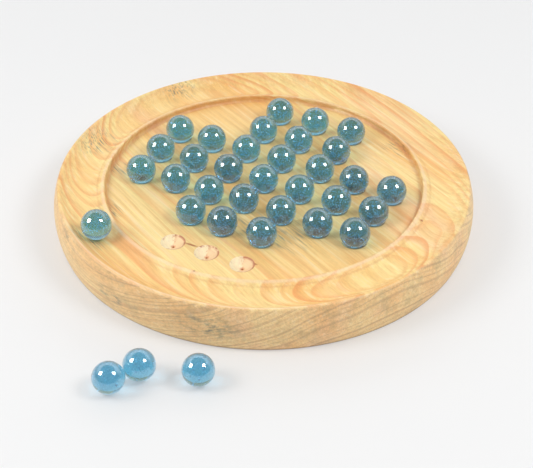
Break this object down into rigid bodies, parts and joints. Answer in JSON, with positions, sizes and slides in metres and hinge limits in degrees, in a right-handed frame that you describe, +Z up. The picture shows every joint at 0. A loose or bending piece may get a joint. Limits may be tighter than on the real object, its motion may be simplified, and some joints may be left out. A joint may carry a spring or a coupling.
{
  "type": "marble solitaire board",
  "caption": "Round turned pine board with a sunk field of drilled hollows in a cross, a ring groove at the rim, and glass marbles that lift out.",
  "frame": {"origin": "centre of the board's flat underside, where it rests on the table", "axes": "+Z up out of the playing field, +X along the row of seven hollows, -Y towards the cleared row and the captured marbles"},
  "size_m": [0.2262, 0.2775, 0.037],
  "materials": {
    "pine": "satin, waxed",
    "marble_glass": "clear polished, tinted teal blue"
  },
  "bodies": {
    "board": {"board": "pine"},
    "captured_marble_in_groove": {"captured_marble_in_groove": "marble_glass"},
    "captured_marble_on_table1": {"captured_marble_on_table1": "marble_glass"},
    "captured_marble_on_table2": {"captured_marble_on_table2": "marble_glass"},
    "captured_marble_on_table3": {"captured_marble_on_table3": "marble_glass"},
    "marble_row1_col3": {"marble_row1_col3": "marble_glass"},
    "marble_row1_col4": {"marble_row1_col4": "marble_glass"},
    "marble_row1_col5": {"marble_row1_col5": "marble_glass"},
    "marble_row2_col3": {"marble_row2_col3": "marble_glass"},
    "marble_row2_col4": {"marble_row2_col4": "marble_glass"},
    "marble_row2_col5": {"marble_row2_col5": "marble_glass"},
    "marble_row3_col1": {"marble_row3_col1": "marble_glass"},
    "marble_row3_col2": {"marble_row3_col2": "marble_glass"},
    "marble_row3_col3": {"marble_row3_col3": "marble_glass"},
    "marble_row3_col4": {"marble_row3_col4": "marble_glass"},
    "marble_row3_col5": {"marble_row3_col5": "marble_glass"},
    "marble_row3_col6": {"marble_row3_col6": "marble_glass"},
    "marble_row3_col7": {"marble_row3_col7": "marble_glass"},
    "marble_row4_col1": {"marble_row4_col1": "marble_glass"},
    "marble_row4_col2": {"marble_row4_col2": "marble_glass"},
    "marble_row4_col3": {"marble_row4_col3": "marble_glass"},
    "marble_row4_col4": {"marble_row4_col4": "marble_glass"},
    "marble_row4_col5": {"marble_row4_col5": "marble_glass"},
    "marble_row4_col6": {"marble_row4_col6": "marble_glass"},
    "marble_row4_col7": {"marble_row4_col7": "marble_glass"},
    "marble_row5_col1": {"marble_row5_col1": "marble_glass"},
    "marble_row5_col2": {"marble_row5_col2": "marble_glass"},
    "marble_row5_col3": {"marble_row5_col3": "marble_glass"},
    "marble_row5_col4": {"marble_row5_col4": "marble_glass"},
    "marble_row5_col5": {"marble_row5_col5": "marble_glass"},
    "marble_row5_col6": {"marble_row5_col6": "marble_glass"},
    "marble_row5_col7": {"marble_row5_col7": "marble_glass"},
    "marble_row6_col3": {"marble_row6_col3": "marble_glass"},
    "marble_row6_col4": {"marble_row6_col4": "marble_glass"},
    "marble_row6_col5": {"marble_row6_col5": "marble_glass"}
  },
  "joints": [
    {"name": "captured_marble_in_groove_lift", "type": "slide", "parent": "board", "child": "captured_marble_in_groove", "axis": [0, 0, 1], "range_m": [0, 0.04]},
    {"name": "captured_marble_on_table1_lift", "type": "slide", "parent": "board", "child": "captured_marble_on_table1", "axis": [0, 0, 1], "range_m": [0, 0.04]},
    {"name": "captured_marble_on_table2_lift", "type": "slide", "parent": "board", "child": "captured_marble_on_table2", "axis": [0, 0, 1], "range_m": [0, 0.04]},
    {"name": "captured_marble_on_table3_lift", "type": "slide", "parent": "board", "child": "captured_marble_on_table3", "axis": [0, 0, 1], "range_m": [0, 0.04]},
    {"name": "marble_row1_col3_lift", "type": "slide", "parent": "board", "child": "marble_row1_col3", "axis": [0, 0, 1], "range_m": [0, 0.04]},
    {"name": "marble_row1_col4_lift", "type": "slide", "parent": "board", "child": "marble_row1_col4", "axis": [0, 0, 1], "range_m": [0, 0.04]},
    {"name": "marble_row1_col5_lift", "type": "slide", "parent": "board", "child": "marble_row1_col5", "axis": [0, 0, 1], "range_m": [0, 0.04]},
    {"name": "marble_row2_col3_lift", "type": "slide", "parent": "board", "child": "marble_row2_col3", "axis": [0, 0, 1], "range_m": [0, 0.04]},
    {"name": "marble_row2_col4_lift", "type": "slide", "parent": "board", "child": "marble_row2_col4", "axis": [0, 0, 1], "range_m": [0, 0.04]},
    {"name": "marble_row2_col5_lift", "type": "slide", "parent": "board", "child": "marble_row2_col5", "axis": [0, 0, 1], "range_m": [0, 0.04]},
    {"name": "marble_row3_col1_lift", "type": "slide", "parent": "board", "child": "marble_row3_col1", "axis": [0, 0, 1], "range_m": [0, 0.04]},
    {"name": "marble_row3_col2_lift", "type": "slide", "parent": "board", "child": "marble_row3_col2", "axis": [0, 0, 1], "range_m": [0, 0.04]},
    {"name": "marble_row3_col3_lift", "type": "slide", "parent": "board", "child": "marble_row3_col3", "axis": [0, 0, 1], "range_m": [0, 0.04]},
    {"name": "marble_row3_col4_lift", "type": "slide", "parent": "board", "child": "marble_row3_col4", "axis": [0, 0, 1], "range_m": [0, 0.04]},
    {"name": "marble_row3_col5_lift", "type": "slide", "parent": "board", "child": "marble_row3_col5", "axis": [0, 0, 1], "range_m": [0, 0.04]},
    {"name": "marble_row3_col6_lift", "type": "slide", "parent": "board", "child": "marble_row3_col6", "axis": [0, 0, 1], "range_m": [0, 0.04]},
    {"name": "marble_row3_col7_lift", "type": "slide", "parent": "board", "child": "marble_row3_col7", "axis": [0, 0, 1], "range_m": [0, 0.04]},
    {"name": "marble_row4_col1_lift", "type": "slide", "parent": "board", "child": "marble_row4_col1", "axis": [0, 0, 1], "range_m": [0, 0.04]},
    {"name": "marble_row4_col2_lift", "type": "slide", "parent": "board", "child": "marble_row4_col2", "axis": [0, 0, 1], "range_m": [0, 0.04]},
    {"name": "marble_row4_col3_lift", "type": "slide", "parent": "board", "child": "marble_row4_col3", "axis": [0, 0, 1], "range_m": [0, 0.04]},
    {"name": "marble_row4_col4_lift", "type": "slide", "parent": "board", "child": "marble_row4_col4", "axis": [0, 0, 1], "range_m": [0, 0.04]},
    {"name": "marble_row4_col5_lift", "type": "slide", "parent": "board", "child": "marble_row4_col5", "axis": [0, 0, 1], "range_m": [0, 0.04]},
    {"name": "marble_row4_col6_lift", "type": "slide", "parent": "board", "child": "marble_row4_col6", "axis": [0, 0, 1], "range_m": [0, 0.04]},
    {"name": "marble_row4_col7_lift", "type": "slide", "parent": "board", "child": "marble_row4_col7", "axis": [0, 0, 1], "range_m": [0, 0.04]},
    {"name": "marble_row5_col1_lift", "type": "slide", "parent": "board", "child": "marble_row5_col1", "axis": [0, 0, 1], "range_m": [0, 0.04]},
    {"name": "marble_row5_col2_lift", "type": "slide", "parent": "board", "child": "marble_row5_col2", "axis": [0, 0, 1], "range_m": [0, 0.04]},
    {"name": "marble_row5_col3_lift", "type": "slide", "parent": "board", "child": "marble_row5_col3", "axis": [0, 0, 1], "range_m": [0, 0.04]},
    {"name": "marble_row5_col4_lift", "type": "slide", "parent": "board", "child": "marble_row5_col4", "axis": [0, 0, 1], "range_m": [0, 0.04]},
    {"name": "marble_row5_col5_lift", "type": "slide", "parent": "board", "child": "marble_row5_col5", "axis": [0, 0, 1], "range_m": [0, 0.04]},
    {"name": "marble_row5_col6_lift", "type": "slide", "parent": "board", "child": "marble_row5_col6", "axis": [0, 0, 1], "range_m": [0, 0.04]},
    {"name": "marble_row5_col7_lift", "type": "slide", "parent": "board", "child": "marble_row5_col7", "axis": [0, 0, 1], "range_m": [0, 0.04]},
    {"name": "marble_row6_col3_lift", "type": "slide", "parent": "board", "child": "marble_row6_col3", "axis": [0, 0, 1], "range_m": [0, 0.04]},
    {"name": "marble_row6_col4_lift", "type": "slide", "parent": "board", "child": "marble_row6_col4", "axis": [0, 0, 1], "range_m": [0, 0.04]},
    {"name": "marble_row6_col5_lift", "type": "slide", "parent": "board", "child": "marble_row6_col5", "axis": [0, 0, 1], "range_m": [0, 0.04]}
  ]
}
